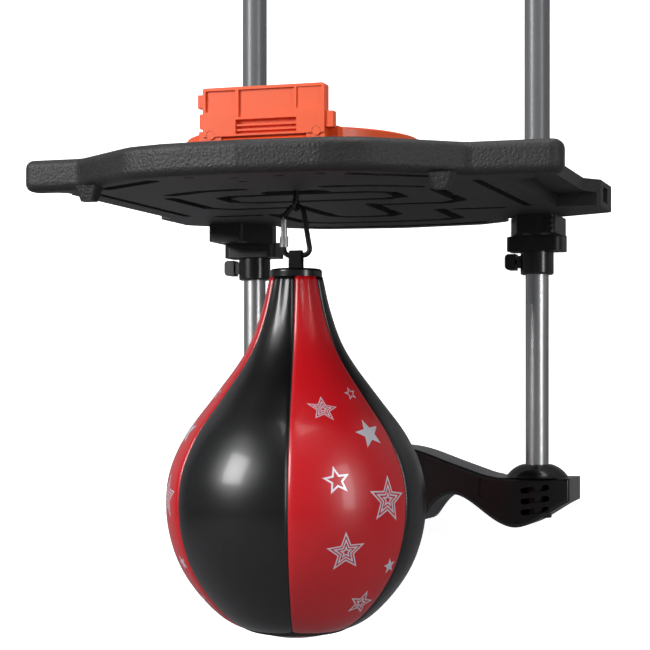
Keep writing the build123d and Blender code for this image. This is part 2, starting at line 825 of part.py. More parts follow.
def bag_curve(inset):
    """The bag's half section: a slim neck that swells to a round belly, pulled in by the skin's thickness."""
    shape = ((0.0, neck_r + 1.5), (0.087, 29.3), (0.174, 38.5), (0.246, 51.0), (0.34, 72.6), (0.435, 94.5),
             (0.53, 108.0), (0.624, bag_r), (0.72, 108.5), (0.81, 98.0), (0.895, 79.0), (0.957, 56.0))
    points = []
    for share, radius in shape:
        points.append((radius - inset, skin_top - share * bag_length))
    points[0] = (points[0][0], skin_top - inset * 0.5)
    points.append((0, skin_bottom + inset))
    return Spline(*points, tangents=((0.25, -1), (-1, 0)))


def skin_section():
    """The cut section of the stitched cover."""
    outer = bag_curve(0.0)
    inner = bag_curve(skin)
    top_edge = Line(outer @ 0, inner @ 0)
    bottom_edge = Line(outer @ 1, inner @ 1)
    return make_face(Wire([outer, bottom_edge, inner, top_edge]))


def panel(index):
    """One of the six cover panels."""
    turn = 360.0 / panel_count
    wedge = revolve(Plane.XZ * skin_section(), Axis.Z, revolution_arc=turn)
    return Pos(0, bag_y, 0) * Rot(0, 0, seam_turn + turn * index) * wedge


def bladder_solid(inset):
    """The space inside the cover, drawn in all round."""
    outer = bag_curve(inset)
    top = Line(outer @ 0, (0, (outer @ 0).Y))
    axis = Line((0, (outer @ 0).Y), outer @ 1)
    body = revolve(Plane.XZ * make_face(Wire([outer, top, axis])), Axis.Z)
    return Pos(0, bag_y, 0) * body


def bladder():
    """The air-filled rubber bladder inside the cover."""
    return bladder_solid(skin + bladder_gap) - bladder_solid(skin + bladder_gap + bladder_wall)


def bag_collar():
    """The stiff ring that closes the cover's neck."""
    ring = rod((0, bag_y, skin_top), (0, bag_y, bag_top), neck_r + 1.0)
    ring = fillet(ring.faces().sort_by(Axis.Z)[-1].edges(), 2.5)
    return ring - rod((0, bag_y, skin_top - 1), (0, bag_y, skin_top + 3.5), neck_r - 4.0)


def bag_loop():
    """The webbing loop over the carabiner's bottom wire."""
    inner = wire / 2 + 0.35
    outer = inner + loop_thickness
    z = link_bottom_z
    half = loop_width / 2
    legs = box_between((-half, bag_y - outer, bag_top), (half, bag_y + outer, z))
    over = rod((-half, bag_y, z), (half, bag_y, z), outer)
    loop = legs + over
    loop -= rod((-half - 1, bag_y, z), (half + 1, bag_y, z), inner)
    loop -= box_between((-half - 1, bag_y - inner, bag_top + 4.0), (half + 1, bag_y + inner, z))
    return loop


save(Compound(children=[panel(i) for i in (0, 2, 4)]), "bag_panels_red")
save(Compound(children=[panel(i) for i in (1, 3, 5)]), "bag_panels_black")
save(bladder(), "bag_bladder")
save(bag_collar(), "bag_collar")
save(bag_loop(), "bag_loop")

# ---- hoop ---------------------------------------------------------------------------------------------

hinge_rise = 6.5            # of the hinge axis above the platform's front zone
knuckle_r = 4.5
plate_depth = 12.0
hinge_pin_r = 2.5
hinge_z = rim_top + hinge_rise
plate_foot = hinge_z + knuckle_r + 0.6
plate_high = rim_top + 4.0 + hoop_plate_height + 2.0
plate_front = hoop_y - plate_depth / 2
plate_back = hoop_y + plate_depth / 2
knuckle_length = 16.0
ring_low = rim_top + 1.0
ring_r = hoop_od / 2
ring_chord = hoop_plate_half - 14.0     # half width of the gap in the ring's front
ring_centre = hoop_y + plate_depth / 2 + (ring_r**2 - ring_chord**2) ** 0.5
hoop_peg_x = hoop_plate_half - 7.0
hoop_peg_z = ring_low + 12.0
hoop_peg_head = 2.0


def hoop_plate():
    """The ribbed plate that lies on the board in play, here standing up, with hinge knuckles at its foot."""
    h = hoop_plate_half
    y0, y1 = plate_front, plate_back
    plate = box_between((-h, y0, plate_foot), (h, y1, plate_high))
    plate = fillet(plate.edges().filter_by(Axis.Y).group_by(Axis.Z)[-1], 2.0)
    rib = 2.6
    window_low = plate_foot + 1.6
    pockets = (
        (-h + 2.5, -h + 29, plate_high - 20, plate_high - 2.5, 2.0),
        (-h + 29 + rib, h - 26, plate_high - 25, plate_high - 2.5, 2.0),
        (-h + 29, h - 24, window_low, plate_high - 27, 5.0),
        (h - 24, h - 2.5, plate_high - 20, plate_high - 2.5, 1.2),
    )
    for x0, x1, z0, z1, deep in pockets:
        plate -= box_between((x0, y0 - 1, z0), (x1, y0 + deep, z1))
    for z in (window_low + 2.4, window_low + 6.4):
        plate += box_between((-h + 28, y0 + 1.2, z), (h - 23, y1, z + 1.6))
    tabs = ((-h - 5.0, plate_high - 16, plate_high - 5), (-h - 3.5, plate_high - 33, plate_high - 21))
    for x0, z0, z1 in tabs:
        plate += box_between((x0, y0 + 2, z0), (-h + 1, y1 - 2, z1))
    plate += box_between((h - 1, y0 + 2, plate_high - 36), (h + 7.0, y1 - 2, plate_high - 23))
    for x0, x1 in ((-h, -h + knuckle_length), (h - knuckle_length, h)):
        knuckle = box_between((x0, y0 + 1.5, hinge_z), (x1, y1 - 1.5, plate_foot + 1))
        plate += knuckle + rod((x0, hoop_y, hinge_z), (x1, hoop_y, hinge_z), knuckle_r)
    plate -= rod((-h - 10, hoop_y, hinge_z), (h + 10, hoop_y, hinge_z), hinge_pin_r + 0.05)
    for x in (-hoop_peg_x, hoop_peg_x):
        plate -= rod((x, y0 - 1, hoop_peg_z), (x, y1 + 1, hoop_peg_z), hoop_peg_r)
        plate -= rod((x, y0 - 1, hoop_peg_z), (x, y0 + hoop_peg_head, hoop_peg_z), 3.8)
    return plate


def hoop_ring():
    """The moulded ring, lying flat, with two arms to the plate's back."""
    z0, z1 = ring_low, ring_low + hoop_height
    ring = tube((0, ring_centre, z0), (0, ring_centre, z1), ring_r, ring_r - hoop_band)
    ring = fillet(ring.faces().sort_by(Axis.Z)[-1].edges(), 1.8)
    ring -= box_between((-ring_r, hoop_y - 40, z0 - 1), (ring_r, plate_back, z1 + 1))
    arm_out = hoop_plate_half + 8
    arm_in = ring_chord
    ring -= box_between((-arm_in, hoop_y - 40, z0 - 1), (arm_in, hoop_y + base_reach + 1, z1 + 1))
    reach = ring_centre - (ring_r**2 - arm_out**2) ** 0.5 + 8
    for sx in (-1, 1):
        low_x, high_x = sorted((sx * arm_in, sx * arm_out))
        arm = box_between((low_x, plate_back, z0 + 2), (high_x, reach, z1 - 1))
        ring += arm - rod((0, ring_centre, z0 - 1), (0, ring_centre, z1 + 1), ring_r - hoop_band)
    for x in (-hoop_peg_x, hoop_peg_x):
        ring -= rod((x, plate_back - 1, hoop_peg_z), (x, plate_back + 8, hoop_peg_z), hoop_peg_r)
    return ring


def hoop_pegs():
    """Two moulded pegs from the plate's front into the ring's arms, heads sunk."""
    screws = []
    for x in (-hoop_peg_x, hoop_peg_x):
        shank = rod((x, plate_front + 0.2, hoop_peg_z), (x, plate_back + 8, hoop_peg_z), hoop_peg_r)
        head = rod((x, plate_front + 0.2, hoop_peg_z), (x, plate_front + hoop_peg_head, hoop_peg_z), 3.6)
        screws.append(shank + head)
    return Compound(children=screws)


base_half = hoop_plate_half - knuckle_length - 0.4
base_foot = 3.0


def hoop_hinge_base():
    """The hinge block screwed to the platform, between the plate's knuckles."""
    base = box_between((-base_half, hoop_y - knuckle_r, rim_top), (base_half, hoop_y + knuckle_r, hinge_z))
    base += rod((-base_half, hoop_y, hinge_z), (base_half, hoop_y, hinge_z), knuckle_r)
    base += box_between((-base_half, hoop_y, rim_top), (base_half, hoop_y + base_reach, rim_top + base_foot))
    base -= rod((-base_half - 1, hoop_y, hinge_z), (base_half + 1, hoop_y, hinge_z), hinge_pin_r)
    for x in (-base_screw_x, base_screw_x):
        base -= rod((x, base_screw_y, rim_top - 1), (x, base_screw_y, rim_top + base_foot + 1), hoop_peg_r)
    return base


def hoop_base_screws():
    """Two screws that hold the hinge block down."""
    screws = []
    for x in (-base_screw_x, base_screw_x):
        top = rim_top + base_foot
        shank = rod((x, base_screw_y, rim_top - 10), (x, base_screw_y, top), hoop_peg_r)
        head = rod((x, base_screw_y, top), (x, base_screw_y, top + 1.8), 3.6)
        screws.append(shank + head)
    return Compound(children=screws)


def hoop_hinge_pin():
    """The long pin through the knuckles."""
    end = hoop_plate_half + 1.0
    return rod((-end, hoop_y, hinge_z), (end, hoop_y, hinge_z), hinge_pin_r)


save(hoop_plate(), "hoop_plate")
save(hoop_ring(), "hoop_ring")
save(hoop_base_screws(), "hoop_base_screws")
save(hoop_pegs(), "hoop_pegs")
save(hoop_hinge_base(), "hoop_hinge_base")
save(hoop_hinge_pin(), "hoop_hinge_pin")
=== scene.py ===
# %% [markdown]
# # An over-the-door speed bag trainer, lesson by lesson
# The hard parts come in as a fixed frame. We give every one of them a finish built from nodes, and we
# sew the bag ourselves, because a stuffed vinyl bag has creases and printing that a plain solid lacks.
# We keep the frame's own box from the start.

# %% Open the frame
import bpy
import json
import math
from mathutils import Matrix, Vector


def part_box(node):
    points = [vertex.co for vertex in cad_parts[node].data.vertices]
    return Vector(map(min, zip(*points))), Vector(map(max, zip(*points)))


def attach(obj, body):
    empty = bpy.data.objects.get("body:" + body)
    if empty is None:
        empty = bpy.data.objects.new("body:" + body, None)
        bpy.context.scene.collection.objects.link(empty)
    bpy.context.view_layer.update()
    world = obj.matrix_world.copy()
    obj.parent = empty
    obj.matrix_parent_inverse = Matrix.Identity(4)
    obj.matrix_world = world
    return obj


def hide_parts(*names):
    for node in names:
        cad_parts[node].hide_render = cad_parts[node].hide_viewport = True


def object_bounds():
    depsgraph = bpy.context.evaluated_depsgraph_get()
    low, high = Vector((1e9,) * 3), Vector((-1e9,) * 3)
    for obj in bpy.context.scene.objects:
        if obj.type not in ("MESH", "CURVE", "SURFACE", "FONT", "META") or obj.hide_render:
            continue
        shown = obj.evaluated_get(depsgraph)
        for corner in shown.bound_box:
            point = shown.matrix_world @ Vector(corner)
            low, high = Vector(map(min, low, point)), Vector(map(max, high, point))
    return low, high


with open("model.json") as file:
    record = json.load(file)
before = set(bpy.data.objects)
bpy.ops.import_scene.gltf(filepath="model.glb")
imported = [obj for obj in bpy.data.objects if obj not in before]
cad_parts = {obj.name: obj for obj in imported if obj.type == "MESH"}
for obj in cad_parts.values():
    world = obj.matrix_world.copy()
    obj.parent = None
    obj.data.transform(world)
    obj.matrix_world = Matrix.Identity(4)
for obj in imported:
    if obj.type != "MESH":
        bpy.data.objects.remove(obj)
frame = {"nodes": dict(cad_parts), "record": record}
nodes = frame["nodes"]
cad_low, cad_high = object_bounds()
print("the frame has", len(nodes), "pieces and is", [round(v, 3) for v in cad_high - cad_low], "m")

# %% [markdown]
# Something this deep is best seen through a long lens from a step to the right, with the lens held level.
# A shifted lens keeps the tubes upright while the platform's underside stays in view, so we raise the
# frame with shift and never tilt the camera. The bag's own box tells us where to stand.

# %% Stand the camera
bag_low, bag_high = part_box("bag_panels_red")
black_low, black_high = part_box("bag_panels_black")
bag_axis = Vector((0.0, (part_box("bag_bladder")[0].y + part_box("bag_bladder")[1].y) / 2, 0.0))
turn = math.radians(17.9)
eye_below_neck = 0.10175
steps_right = 0.5097
steps_back = 1.4968
camera_data = bpy.data.cameras.new("camera")
camera_data.lens = 101.3
camera_data.sensor_width = 36.0
camera_data.shift_y = 0.1077
camera_data.clip_end = 50.0
camera = bpy.data.objects.new("camera", camera_data)
camera.location = (steps_right, bag_axis.y - steps_back, black_high.z - eye_below_neck)
camera.rotation_euler = (math.radians(90.0), 0.0, turn)
bpy.context.scene.collection.objects.link(camera)
bpy.context.scene.camera = camera
print("the camera stands", round((camera.location - bag_axis).length, 2), "m from the bag")

# %% [markdown]
# The studio is white all round. Shiny black plastic needs dark surroundings with a few bright panels to
# show its form, so the camera sees white while reflections see a dark grey. The wall behind is clear
# from the back, so the object can be walked round.

# %% Light the studio
world = bpy.data.worlds.new("studio")
bpy.context.scene.world = world
world.use_nodes = True
wt = world.node_tree
wt.nodes.clear()
w_out = wt.nodes.new("ShaderNodeOutputWorld")
w_seen = wt.nodes.new("ShaderNodeBackground")
w_seen.inputs["Color"].default_value = (1, 1, 1, 1)
w_seen.inputs["Strength"].default_value = 1.0
w_lit = wt.nodes.new("ShaderNodeBackground")
w_lit.inputs["Color"].default_value = (0.93, 0.96, 1, 1)
w_lit.inputs["Strength"].default_value = 0.2
w_path = wt.nodes.new("ShaderNodeLightPath")
w_mix = wt.nodes.new("ShaderNodeMixShader")
wt.links.new(w_path.outputs["Is Camera Ray"], w_mix.inputs["Fac"])
wt.links.new(w_lit.outputs[0], w_mix.inputs[1])
wt.links.new(w_seen.outputs[0], w_mix.inputs[2])
wt.links.new(w_mix.outputs[0], w_out.inputs["Surface"])
bpy.context.scene.view_settings.view_transform = "Standard"


def softbox(name, place, aim, wide, high, watts):
    """A rectangular lamp that faces a point."""
    lamp = bpy.data.lights.new(name, "AREA")
    lamp.shape = "RECTANGLE"
    lamp.size = wide
    lamp.size_y = high
    lamp.energy = watts
    o = bpy.data.objects.new(name, lamp)
    o.location = place
    o.rotation_euler = (Vector(aim) - Vector(place)).to_track_quat("-Z", "Y").to_euler()
    bpy.context.scene.collection.objects.link(o)


bag_middle = Vector((0.0, bag_axis.y, (bag_low.z + bag_high.z) / 2))
softbox("key", (-1.3, -1.9, 0.45), bag_middle, 0.8, 1.0, 44)
softbox("fill", (1.9, -1.3, 0.0), bag_middle, 0.45, 1.5, 15)
softbox("top", (0.2, -0.5, 1.5), bag_middle, 1.4, 1.4, 24)
softbox("low", (0.2, -1.7, -1.5), bag_middle, 1.2, 0.4, 2.5)
print("lamps:", len(bpy.data.lights))

# %% [markdown]
# A stage mesh is only a big flat sheet, but a sheet of one colour would grey towards its edges. We give
# the floor and the wall a glow that only the camera sees. To every other ray they are dull grey card,
# so they don't wash out the black parts.

# %% Lay the floor and hang the wall
PAPER_GLOW = 0.78
STAGE_REACH = 6
WALL_TOP = 5


def paper(name, see_through_back):
    """Matt white paper that looks lit from within but throws little light on the object."""
    m = bpy.data.materials.new(name)
    m.use_nodes = True
    t = m.node_tree
    bsdf = t.nodes["Principled BSDF"]
    bsdf.inputs["Base Color"].default_value = (0.9, 0.9, 0.9, 1)
    bsdf.inputs["Roughness"].default_value = 0.9
    bsdf.inputs["Emission Color"].default_value = (1, 1, 1, 1)
    bsdf.inputs["Emission Strength"].default_value = PAPER_GLOW
    dim = t.nodes.new("ShaderNodeBsdfDiffuse")
    dim.inputs["Color"].default_value = (0.28, 0.28, 0.29, 1)
    seen = t.nodes.new("ShaderNodeLightPath")
    sheet = t.nodes.new("ShaderNodeMixShader")
    t.links.new(seen.outputs["Is Camera Ray"], sheet.inputs["Fac"])
    t.links.new(dim.outputs[0], sheet.inputs[1])
    t.links.new(bsdf.outputs[0], sheet.inputs[2])
    t.links.new(sheet.outputs[0], t.nodes["Material Output"].inputs["Surface"])
    if see_through_back:
        clear = t.nodes.new("ShaderNodeBsdfTransparent")
        side = t.nodes.new("ShaderNodeNewGeometry")
        mix = t.nodes.new("ShaderNodeMixShader")
        t.links.new(side.outputs["Backfacing"], mix.inputs["Fac"])
        t.links.new(sheet.outputs[0], mix.inputs[1])
        t.links.new(clear.outputs[0], mix.inputs[2])
        t.links.new(mix.outputs[0], t.nodes["Material Output"].inputs["Surface"])
    return m


def sheet_of_paper(name, corners, material):
    """One flat stage sheet."""
    mesh = bpy.data.meshes.new(name)
    mesh.from_pydata(corners, [], [(0, 1, 2, 3)])
    mesh.materials.append(material)
    o = bpy.data.objects.new(name, mesh)
    bpy.context.scene.collection.objects.link(o)


floor_z = cad_low.z - 0.25
wall_y = cad_high.y + 0.03
far = STAGE_REACH
sheet_of_paper(
    "floor", [(-far, -far, floor_z), (far, -far, floor_z), (far, far, floor_z), (-far, far, floor_z)],
    paper("floor paper", False))
sheet_of_paper("wall", [(-far, wall_y, floor_z), (far, wall_y, floor_z), (far, wall_y, WALL_TOP),
                        (-far, wall_y, WALL_TOP)], paper("wall paper", True))
print("the wall stands at", round(wall_y, 3))

# %% [markdown]
# Almost every moulded or painted surface here shares two things: a fine relief and a cloudy change of
# shine where hands and dust have been. Each becomes a shader group with named sockets, built once. The
# groups only put out heights and masks, and the shader itself stays in each material.

# %% A helper that makes shader groups


def shader_group(name, ins, outs):
    """A new group with float or vector sockets, and its two end nodes."""
    g = bpy.data.node_groups.new(name, "ShaderNodeTree")
    for title, kind, value in ins:
        s = g.interface.new_socket(title, in_out="INPUT", socket_type=kind)
        if value is not None:
            s.default_value = value
    for title, kind in outs:
        g.interface.new_socket(title, in_out="OUTPUT", socket_type=kind)
    return g, g.nodes.new("NodeGroupInput"), g.nodes.new("NodeGroupOutput")


def sums(t, kind, a, b=None, c=None):
    """A Math node of a kind, fed by sockets or numbers."""
    n = t.nodes.new("ShaderNodeMath")
    n.operation = kind
    for i, v in enumerate((a, b, c)):
        if v is None:
            continue
        if isinstance(v, (int, float)):
            n.inputs[i].default_value = v
        else:
            t.links.new(v, n.inputs[i])
    return n.outputs[0]


def grain_group():
    """Moulding grain: round pebbles of two sizes."""
    g, i, o = shader_group(
        "Moulded grain", [("Pebbles per metre", "NodeSocketFloat", 700.0)], [("Height", "NodeSocketFloat")])
    place = g.nodes.new("ShaderNodeTexCoord")
    big = g.nodes.new("ShaderNodeTexVoronoi")
    big.feature = "SMOOTH_F1"
    small = g.nodes.new("ShaderNodeTexNoise")
    small.inputs["Detail"].default_value = 3.0
    g.links.new(place.outputs["Object"], big.inputs["Vector"])
    g.links.new(place.outputs["Object"], small.inputs["Vector"])
    g.links.new(i.outputs[0], big.inputs["Scale"])
    g.links.new(sums(g, "MULTIPLY", i.outputs[0], 1.7), small.inputs["Scale"])
    both = sums(g, "MULTIPLY_ADD", small.outputs[0], 0.6, sums(g, "MULTIPLY", big.outputs["Distance"], -0.8))
    g.links.new(both, o.inputs[0])
    return g


def handling_group():
    """Clouds of handling and dust: large soft patches, and dust on what faces up."""
    g, i, o = shader_group(
        "Handling",
        [("Patches per metre", "NodeSocketFloat", 14.0)],
        [("Patches", "NodeSocketFloat"), ("Dust", "NodeSocketFloat")])
    place = g.nodes.new("ShaderNodeTexCoord")
    cloud = g.nodes.new("ShaderNodeTexNoise")
    cloud.inputs["Detail"].default_value = 6.0
    cloud.inputs["Roughness"].default_value = 0.6
    g.links.new(place.outputs["Object"], cloud.inputs["Vector"])
    g.links.new(i.outputs[0], cloud.inputs["Scale"])
    facing = g.nodes.new("ShaderNodeNewGeometry")
    split = g.nodes.new("ShaderNodeSeparateXYZ")
    g.links.new(facing.outputs["Normal"], split.inputs[0])
    up = sums(g, "SMOOTH_MIN", sums(g, "MAXIMUM", split.outputs["Z"], 0.0), 1.0, 0.1)
    g.links.new(cloud.outputs[0], o.inputs["Patches"])
    g.links.new(sums(g, "MULTIPLY", up, cloud.outputs[0]), o.inputs["Dust"])
    return g


grain = grain_group()
handling = handling_group()
print("groups:", [g.name for g in bpy.data.node_groups])

# %% [markdown]
# One function now writes a finish: a plain Principled shader whose fixed numbers sit on its own sockets,
# with grain feeding Bump, and patches nudging the colour and the roughness. Plastic, powder coat, rubber
# and plating differ only in these numbers, which makes it easy to compare them side by side.

# %% Write finishes from grain and handling


def finish(name, dark, light, rough, pebbles, relief, metallic=0.0, coat=0.0, dust=0.0, patches=14.0,
           spread=0.12):
    """A material whose colour runs from dark to light, with its own grain."""
    m = bpy.data.materials.new(name)
    m.use_nodes = True
    t = m.node_tree
    bsdf = t.nodes["Principled BSDF"]
    bsdf.inputs["Metallic"].default_value = metallic
    bsdf.inputs["Coat Weight"].default_value = coat
    bsdf.inputs["Coat Roughness"].default_value = 0.12
    touch = t.nodes.new("ShaderNodeGroup")
    touch.node_tree = handling
    touch.inputs[0].default_value = patches
    tint = t.nodes.new("ShaderNodeMix")
    tint.data_type = "RGBA"
    tint.inputs[6].default_value = (*dark, 1)
    tint.inputs[7].default_value = (*light, 1)
    half_patches = sums(t, "MULTIPLY", touch.outputs["Patches"], 0.5)
    share = sums(t, "MULTIPLY_ADD", touch.outputs["Dust"], dust, half_patches)
    t.links.new(share, tint.inputs["Factor"])
    t.links.new(tint.outputs[2], bsdf.inputs["Base Color"])
    shine = sums(t, "MULTIPLY_ADD", touch.outputs["Patches"], spread, rough - spread / 2)
    t.links.new(shine, bsdf.inputs["Roughness"])
    if relief:
        pebble = t.nodes.new("ShaderNodeGroup")
        pebble.node_tree = grain
        pebble.inputs[0].default_value = pebbles
        bump = t.nodes.new("ShaderNodeBump")
        bump.inputs["Strength"].default_value = relief
        bump.inputs["Distance"].default_value = 0.0006
        t.links.new(pebble.outputs[0], bump.inputs["Height"])
        t.links.new(bump.outputs[0], bsdf.inputs["Normal"])
    return m


coarse_black = finish(
    "platform plastic", (0.004, 0.004, 0.004), (0.042, 0.042, 0.043), 0.55, 430, 1.0, dust=0.1)
fine_black = finish("bracket plastic", (0.003, 0.003, 0.003), (0.012, 0.012, 0.012), 0.42, 1500, 0.25)
smooth_black = finish(
    "glossy plastic", (0.003, 0.003, 0.003), (0.009, 0.009, 0.009), 0.25, 900, 0.05, coat=0.3)
grey_coat = finish("grey powder coat", (0.11, 0.115, 0.12), (0.19, 0.195, 0.2), 0.36, 1300, 0.18, coat=0.15)
black_coat = finish("black powder coat", (0.015, 0.015, 0.016), (0.04, 0.04, 0.042), 0.4, 1300, 0.2)
plating = finish(
    "chrome plating", (0.5, 0.5, 0.5), (0.64, 0.64, 0.64), 0.34, 300, 0.02, metallic=1.0, spread=0.1)
zinc = finish("zinc plate", (0.4, 0.4, 0.42), (0.62, 0.62, 0.6), 0.38, 1400, 0.12, metallic=1.0)
orange = finish(
    "orange plastic", (0.9, 0.085, 0.012), (0.95, 0.17, 0.045), 0.4, 800, 0.08, coat=0.1, dust=0.1)
pale_pad = finish("pale rubber", (0.5, 0.5, 0.48), (0.68, 0.68, 0.65), 0.7, 1200, 0.3)
foam = finish("black foam", (0.01, 0.01, 0.01), (0.05, 0.05, 0.05), 0.9, 1800, 0.8)
nylon = finish("nylon", (0.6, 0.58, 0.52), (0.75, 0.74, 0.7), 0.45, 900, 0.05)
dark_steel = finish("blackened steel", (0.02, 0.02, 0.022), (0.07, 0.07, 0.075), 0.3, 900, 0.08, metallic=0.8)
print("finishes so far:", len(bpy.data.materials))

# %% [markdown]
# Woven webbing and coated canvas come next. Both are crossing threads: two bands of waves at right angles.
# The bag's vinyl shows the canvas only as a faint print through its gloss, so the same group serves both
# with a different strength.

# %% Weave threads


def weave_group():
    """Threads over and under, from two crossing waves."""
    g, i, o = shader_group(
        "Woven threads",
        [("Vector", "NodeSocketVector", None), ("Threads per metre", "NodeSocketFloat", 900.0)],
        [("Height", "NodeSocketFloat")])
    split = g.nodes.new("ShaderNodeSeparateXYZ")
    g.links.new(i.outputs["Vector"], split.inputs[0])
    turns = sums(g, "MULTIPLY", i.outputs["Threads per metre"], math.pi)
    warp = sums(g, "SINE", sums(g, "MULTIPLY", split.outputs["X"], turns))
    weft = sums(g, "SINE", sums(g, "MULTIPLY", split.outputs["Y"], turns))
    g.links.new(sums(g, "MULTIPLY", warp, weft), o.inputs[0])
    return g


weave = weave_group()


def webbing_finish():
    """Black woven strap."""
    m = finish("black webbing", (0.008, 0.008, 0.008), (0.03, 0.03, 0.03), 0.75, 900, 0.0)
    t = m.node_tree
    threads = t.nodes.new("ShaderNodeGroup")
    threads.node_tree = weave
    threads.inputs["Threads per metre"].default_value = 1400
    place = t.nodes.new("ShaderNodeTexCoord")
    lay = t.nodes.new("ShaderNodeVectorRotate")
    lay.rotation_type = "X_AXIS"
    lay.inputs["Angle"].default_value = math.radians(90)
    bump = t.nodes.new("ShaderNodeBump")
    bump.inputs["Strength"].default_value = 0.8
    bump.inputs["Distance"].default_value = 0.0004
    t.links.new(place.outputs["Object"], lay.inputs["Vector"])
    t.links.new(lay.outputs[0], threads.inputs["Vector"])
    t.links.new(threads.outputs[0], bump.inputs["Height"])
    t.links.new(bump.outputs[0], t.nodes["Principled BSDF"].inputs["Normal"])
    return m


webbing = webbing_finish()
print("webbing has", len(webbing.node_tree.nodes), "nodes")

# %% [markdown]
# The stars are printed in silver on the red panels. A star is easy to write in polar form: fold the angle
# into one tenth of a turn, and a straight edge from tip to notch gives a level that is 1 on the outline
# and falls to 0 at the centre. Keeping only some bands of that level gives the nested outlines.

# %% Print stars


def star_group():
    """One five-pointed star on the panel's own flat coordinates, in metres."""
    g, i, o = shader_group(
        "Printed star",
        [("Vector", "NodeSocketVector", None),
         ("Across", "NodeSocketFloat", 0.0), ("Along", "NodeSocketFloat", 0.0),
         ("Radius", "NodeSocketFloat", 0.01), ("Lean", "NodeSocketFloat", 0.0),
         ("Bands", "NodeSocketFloat", 1.0), ("Gap", "NodeSocketFloat", -1.0)],
        [("Print", "NodeSocketFloat")])
    split = g.nodes.new("ShaderNodeSeparateXYZ")
    g.links.new(i.outputs["Vector"], split.inputs[0])
    x = sums(g, "DIVIDE", sums(g, "SUBTRACT", split.outputs["X"], i.outputs["Across"]), i.outputs["Radius"])
    y = sums(g, "DIVIDE", sums(g, "SUBTRACT", split.outputs["Y"], i.outputs["Along"]), i.outputs["Radius"])
    far = sums(g, "SQRT", sums(g, "ADD", sums(g, "MULTIPLY", x, x), sums(g, "MULTIPLY", y, y)))
    angle = sums(g, "ADD", sums(g, "ARCTAN2", x, y), i.outputs["Lean"])
    tenth = math.pi / 5
    folded = sums(g, "ABSOLUTE", sums(g, "WRAP", angle, tenth, -tenth))
    edge = sums(g, "MULTIPLY_ADD", sums(g, "SINE", folded), 2.55, sums(g, "COSINE", folded))
    level = sums(g, "MULTIPLY", far, edge)
    inside = sums(g, "LESS_THAN", level, 1.0)
    band = sums(g, "FRACT", sums(g, "MULTIPLY", level, i.outputs["Bands"]))
    kept = sums(g, "GREATER_THAN", band, i.outputs["Gap"])
    g.links.new(sums(g, "MULTIPLY", inside, kept), o.inputs[0])
    return g


star = star_group()
# across and along the panel in metres, radius in metres, lean in degrees, bands, gap
STARS = (
    (0.0183, 0.112, 0.0070, 10, 1, 0.62),
    (-0.0137, 0.128, 0.0132, -8, 3, 0.5),
    (0.0227, 0.153, 0.0143, 12, 1, -1.0),
    (-0.0170, 0.194, 0.0124, 8, 1, 0.66),
    (0.0314, 0.211, 0.0205, -4, 3, 0.48),
    (-0.0078, 0.253, 0.0175, 6, 3, 0.48),
    (0.0415, 0.268, 0.0075, 14, 1, -1.0),
    (0.0206, 0.305, 0.0140, -10, 2, 0.5),
)


def vinyl_finish(name, dark, light, printed):
    """Glossy coated canvas, with or without the silver print."""
    m = finish(name, dark, light, 0.3, 900, 0.0, coat=0.35, patches=9.0, spread=0.1)
    t = m.node_tree
    bsdf = t.nodes["Principled BSDF"]
    flat = t.nodes.new("ShaderNodeUVMap")
    flat.uv_map = "panel"
    threads = t.nodes.new("ShaderNodeGroup")
    threads.node_tree = weave
    threads.inputs["Threads per metre"].default_value = 700
    bump = t.nodes.new("ShaderNodeBump")
    bump.inputs["Strength"].default_value = 0.3
    bump.inputs["Distance"].default_value = 0.0002
    t.links.new(flat.outputs[0], threads.inputs["Vector"])
    t.links.new(threads.outputs[0], bump.inputs["Height"])
    t.links.new(bump.outputs[0], bsdf.inputs["Normal"])
    if printed:
        total = None
        for across, along, radius, lean, bands, gap in STARS:
            s = t.nodes.new("ShaderNodeGroup")
            s.node_tree = star
            t.links.new(flat.outputs[0], s.inputs["Vector"])
            for title, value in (("Across", across), ("Along", -along), ("Radius", radius),
                                 ("Lean", math.radians(lean)), ("Bands", bands), ("Gap", gap)):
                s.inputs[title].default_value = value
            total = s.outputs[0] if total is None else sums(t, "MAXIMUM", total, s.outputs[0])
        ink = t.nodes.new("ShaderNodeMix")
        ink.data_type = "RGBA"
        ground = bsdf.inputs["Base Color"].links[0].from_socket
        t.links.new(total, ink.inputs["Factor"])
        t.links.new(ground, ink.inputs[6])
        ink.inputs[7].default_value = (0.78, 0.76, 0.84, 1)
        t.links.new(ink.outputs[2], bsdf.inputs["Base Color"])
        t.links.new(sums(t, "MULTIPLY", total, 0.35), bsdf.inputs["Metallic"])
    return m


red_vinyl = vinyl_finish("red vinyl", (0.55, 0.004, 0.009), (0.72, 0.012, 0.02), True)
black_vinyl = vinyl_finish("black vinyl", (0.002, 0.002, 0.002), (0.007, 0.007, 0.008), False)
print("stars printed:", len(STARS))

# %% [markdown]
# The bag is six cut panels sewn edge to edge and blown tight by its bladder. The seams hold, so each panel
# bulges a little between them and dives into a narrow crease at its edges. We loft each panel as a closed
# shell on the section that the frame gives, with extra columns near the seams where the crease is.

# %% The bag's section
COVER_TOP = black_high.z
COVER_LENGTH = black_high.z - black_low.z
COVER_OVER_BLADDER = 0.0033
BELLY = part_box("bag_bladder")[1].x + COVER_OVER_BLADDER
MARKED_BELLY = 0.112
SECTION = ((0.0, 0.0230), (0.087, 0.0293), (0.174, 0.0385), (0.246, 0.0510), (0.34, 0.0726), (0.435, 0.0945),
           (0.53, 0.1080), (0.624, 0.1120), (0.72, 0.1085), (0.81, 0.0980), (0.895, 0.0790), (0.957, 0.0560),
           (0.99, 0.0260), (1.0, 0.0006))


